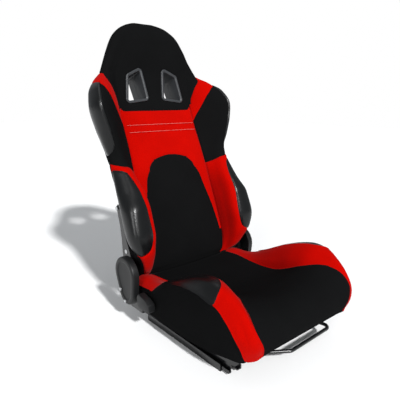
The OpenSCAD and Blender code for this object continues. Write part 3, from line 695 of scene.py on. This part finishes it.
FRONT_RINGS = [(9, raised(-9)), (9, raised(0.2)), (8.6, raised(1.2)), (7.6, raised(1.9)),
               (6.2, raised(2)), (2.4, raised(1.4)), (0.8, raised(0.4)), (0, raised(-1.5)),
               (0, at_depth(-35.5)), (2.5, at_depth(-35.5)), (2.5, raised(-9))]
REAR_RINGS = [(9, at_depth(-65.5)), (9, at_depth(-67.4)), (8, at_depth(-68.4)),
              (1.2, at_depth(-68.4)), (0, at_depth(-67.2)), (0, at_depth(-36.5)),
              (2.5, at_depth(-36.5)), (2.5, at_depth(-65.5))]
for side, sign in (("left", 1), ("right", -1)):
    for name, rings in (("harness_frame_", FRONT_RINGS), ("harness_rear_frame_", REAR_RINGS)):
        piece = ring_loft(name + side, [hole_ring(sign, g, d) for g, d in rings], "backrest",
                          PLASTIC_GREY, closed=True)
        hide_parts(name.replace("frame", "bezel") + side)

COVER = [((197, 158), 54.0), ((191, 108), 42.0)]
COVER_RINGS = [(2, 226.5), (0.6, 226.5), (0, 227.1), (0, 242), (0.5, 244.2), (1.6, 245.8),
               (3.2, 246.5), (13, 246.5), (14.6, 246.1), (16.5, 244.6), (19, 244.2), (38, 243.9)]
INNER_RINGS = [(38, 241.9), (2, 241.9)]
for side, sign in (("left", 1), ("right", -1)):
    rings = [[(sign * x, y, z) for y, z in hull(COVER, -inset)] for inset, x in COVER_RINGS]
    back_rings = [[(sign * x, y, z) for y, z in hull(COVER, -inset)] for inset, x in INNER_RINGS]
    m = len(rings[0])
    loop = rings + back_rings
    piece = ring_loft("recliner_shell_" + side, loop, "seat_base", PLASTIC,
                      closed=True)
    points = [tuple(v.co * 1000) for v in piece.data.vertices]
    bpy.data.objects.remove(piece)
    n = len(loop)
    faces = [(k * m + i, k * m + (i + 1) % m, (k + 1) % n * m + (i + 1) % m, (k + 1) % n * m + i)
             for k in range(n) if k != len(rings) - 1 for i in range(m)]
    for k in (len(rings) - 1, len(rings)):
        hub = len(points)
        ring = loop[k]
        points.append(tuple(sum(p[c] for p in ring) / m for c in range(3)))
        faces += [(k * m + i, k * m + (i + 1) % m, hub) for i in range(m)]
    piece = mesh_piece("recliner_shell_" + side, points, faces, "seat_base",
                       PLASTIC, sharp=35)
    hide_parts("recliner_cover_" + side)


def rounded_path(path, bend, steps=8):
    out = [path[0]]
    for a, b, c in zip(path, path[1:], path[2:]):
        a, b, c = (Vector((*p, 0)) for p in (a, b, c))
        u, v = (b - a).normalized(), (c - b).normalized()
        angle = math.acos(max(-1, min(1, u.dot(v))))
        side = 1 if u.cross(v).z > 0 else -1
        start = b - u * bend * math.tan(angle / 2)
        centre = start + Vector((-u.y, u.x, 0)) * bend * side
        for k in range(steps + 1):
            turn = Matrix.Rotation(side * angle * k / steps, 3, "Z")
            out.append(tuple((centre + turn @ (start - centre)).xy))
    return out + [path[-1]]


def flat_tube(name, path, bend, r, z, body, material, sides=20):
    stops = [Vector((*p, z)) for p in rounded_path(path, bend)]
    rings = []
    for k, stop in enumerate(stops):
        along = (stops[min(k + 1, len(stops) - 1)] - stops[max(k - 1, 0)]).normalized()
        out = Vector((-along.y, along.x, 0))
        rings.append([tuple(stop + out * r * math.cos(2 * math.pi * i / sides)
                            + Vector((0, 0, 1)) * r * math.sin(2 * math.pi * i / sides))
                      for i in range(sides)])
    return ring_loft(name, rings, body, material, sharp=50)


bar = flat_tube("release_bar", [(143, -72), (143, -160), (160, -243), (-20, -247), (-143, -164),
                                (-143, -72)], 18, 5, 33, "rail_release", STEEL)
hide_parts("rail_handle")


def rounded_copy(node, name, body, material, width, segments=3):
    """A copy of a CAD node with its sharp edges rounded, shown instead of the node."""
    source = bpy.data.objects[node]
    work = bmesh.new()
    work.from_mesh(source.data)
    bmesh.ops.remove_doubles(work, verts=work.verts, dist=1e-5)
    bmesh.ops.dissolve_limit(work, angle_limit=math.radians(1), verts=work.verts, edges=work.edges)
    edges = [e for e in work.edges if len(e.link_faces) == 2
             and e.calc_face_angle(0) > math.radians(28)]
    bmesh.ops.bevel(work, geom=edges, offset=width / 1000, segments=segments, profile=0.5,
                    affect="EDGES", clamp_overlap=True)
    bmesh.ops.triangulate(work, faces=[f for f in work.faces if len(f.verts) > 4])
    mesh = bpy.data.meshes.new(name)
    work.to_mesh(mesh)
    work.free()
    for polygon in mesh.polygons:
        polygon.use_smooth = True
    mesh.set_sharp_from_angle(angle=math.radians(38))
    piece = bpy.data.objects.new(name, mesh)
    bpy.context.scene.collection.objects.link(piece)
    mesh.materials.append(material)
    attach(piece, body)
    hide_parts(node)
    return piece


rounded_copy("lever_grip", "lever_handle", "recline_release", PLASTIC, 4, 4)

# Two rows of stitching across the red yoke
for index, s in enumerate((455.0, 431.0)):
    points, faces = [], []
    steps = 58
    for k in range(-steps, steps + 1):
        t = 0.93 * k / steps
        half = 0.0052
        ends = back_at(np.array([s, s]), np.array([t - half, t + half]))
        lift = leaned(np.zeros(1), np.array([3.3]), np.zeros(1))[0] - leaned(
            np.zeros(1), np.zeros(1), np.zeros(1))[0]
        upward = np.array([0, math.sin(LEAN), math.cos(LEAN)])
        base = len(points)
        for end in ends:
            for across_, out_ in ((-0.55, -0.3), (0.55, -0.3), (0.4, 0.45), (-0.4, 0.45)):
                points.append(tuple(end + upward * across_ + lift * (1 + out_ / 3.3)))
        faces += [tuple(base + i for i in q) for q in (
            (0, 1, 2, 3), (7, 6, 5, 4), (0, 4, 5, 1), (1, 5, 6, 2), (2, 6, 7, 3), (3, 7, 4, 0))]
    mesh_piece(f"yoke_stitching_{index + 1}", points, faces, "backrest", THREAD,
               smooth=False)

FINISHES = {"steel_black": STEEL, "steel_bright": ZINC, "plastic_dark": PLASTIC,
            "cloth_black": CLOTH, "bolster_black": LEATHER, "suede_red": SUEDE,
            "leather_black": LEATHER}
for part in frame["record"]["subparts"]:
    thing = bpy.data.objects[part["node"]]
    if not thing.material_slots:
        thing.data.materials.append(FINISHES[part["material_slot"]])
    for place in thing.material_slots:
        place.material = FINISHES[part["material_slot"]]

# ---------------------------------------------------------------- floor, light and camera

floor_mesh = bpy.data.meshes.new("floor")
floor_mesh.from_pydata([(-9, -6, 0), (9, -6, 0), (9, 14, 0), (-9, 14, 0)], [], [(0, 1, 2, 3)])
floor = bpy.data.objects.new("floor", floor_mesh)
bpy.context.scene.collection.objects.link(floor)
floor_mesh.materials.append(node_material("pale_floor", (0.9, 0.9, 0.9), 0.9, specular=0.1))


def lamp(name, kind, power, direction, size=0.0, place=(0, 0, 0), colour=(1, 1, 1)):
    data = bpy.data.lights.new(name, kind)
    data.energy = power
    data.color = colour
    if kind == "SUN":
        data.angle = math.radians(size)
    else:
        data.shape = "RECTANGLE"
        data.size, data.size_y = size
    item = bpy.data.objects.new(name, data)
    bpy.context.scene.collection.objects.link(item)
    item.location = place
    item.rotation_euler = Vector(direction).to_track_quat("-Z", "Y").to_euler()
    return item


lamp("key", "SUN", 4.3, (0.145, 0.80, -0.582), 4)
lamp("fill", "SUN", 1.1, (0.85, 0.42, -0.38), 25)
side_box = lamp("side_box", "AREA", 7, (0.85, 0.45, -0.35), (0.8, 1.5), place=(-1.6, -0.6, 1.3))
top_box = lamp("top_box", "AREA", 5, (0.1, -0.1, -1), (1.6, 0.8), place=(-0.2, 0.3, 2.2))
for soft_box in (side_box, top_box):
    soft_box.visible_diffuse = False

world = bpy.data.worlds.new("studio")
bpy.context.scene.world = world
world.use_nodes = True
tree = world.node_tree
for item in list(tree.nodes):
    tree.nodes.remove(item)
out = tree.nodes.new("ShaderNodeOutputWorld")
mix = tree.nodes.new("ShaderNodeMixShader")
rays = tree.nodes.new("ShaderNodeLightPath")
dim = tree.nodes.new("ShaderNodeBackground")
dim.inputs["Color"].default_value = (0.92, 0.96, 1, 1)
dim.inputs["Strength"].default_value = 0.33
white = tree.nodes.new("ShaderNodeBackground")
white.inputs["Color"].default_value = (1, 1, 1, 1)
white.inputs["Strength"].default_value = 1.0
tree.links.new(rays.outputs["Is Camera Ray"], mix.inputs["Fac"])
tree.links.new(dim.outputs["Background"], mix.inputs[1])
tree.links.new(white.outputs["Background"], mix.inputs[2])
tree.links.new(mix.outputs["Shader"], out.inputs["Surface"])

right = Vector((0.7699, -0.6382, -0.0057))
upward = Vector((0.1521, 0.1748, 0.9728))
forward = Vector((0.6198, 0.7498, -0.2316))
camera_data = bpy.data.cameras.new("camera")
camera_data.sensor_width = 36
camera_data.lens = 37.146
camera = bpy.data.objects.new("camera", camera_data)
bpy.context.scene.collection.objects.link(camera)
camera.matrix_world = Matrix.Translation((-0.7960, -0.8223, 0.6546)) @ Matrix(
    (right, upward, -forward)).transposed().to_4x4()
bpy.context.scene.camera = camera
bpy.context.scene.view_settings.view_transform = "Standard"
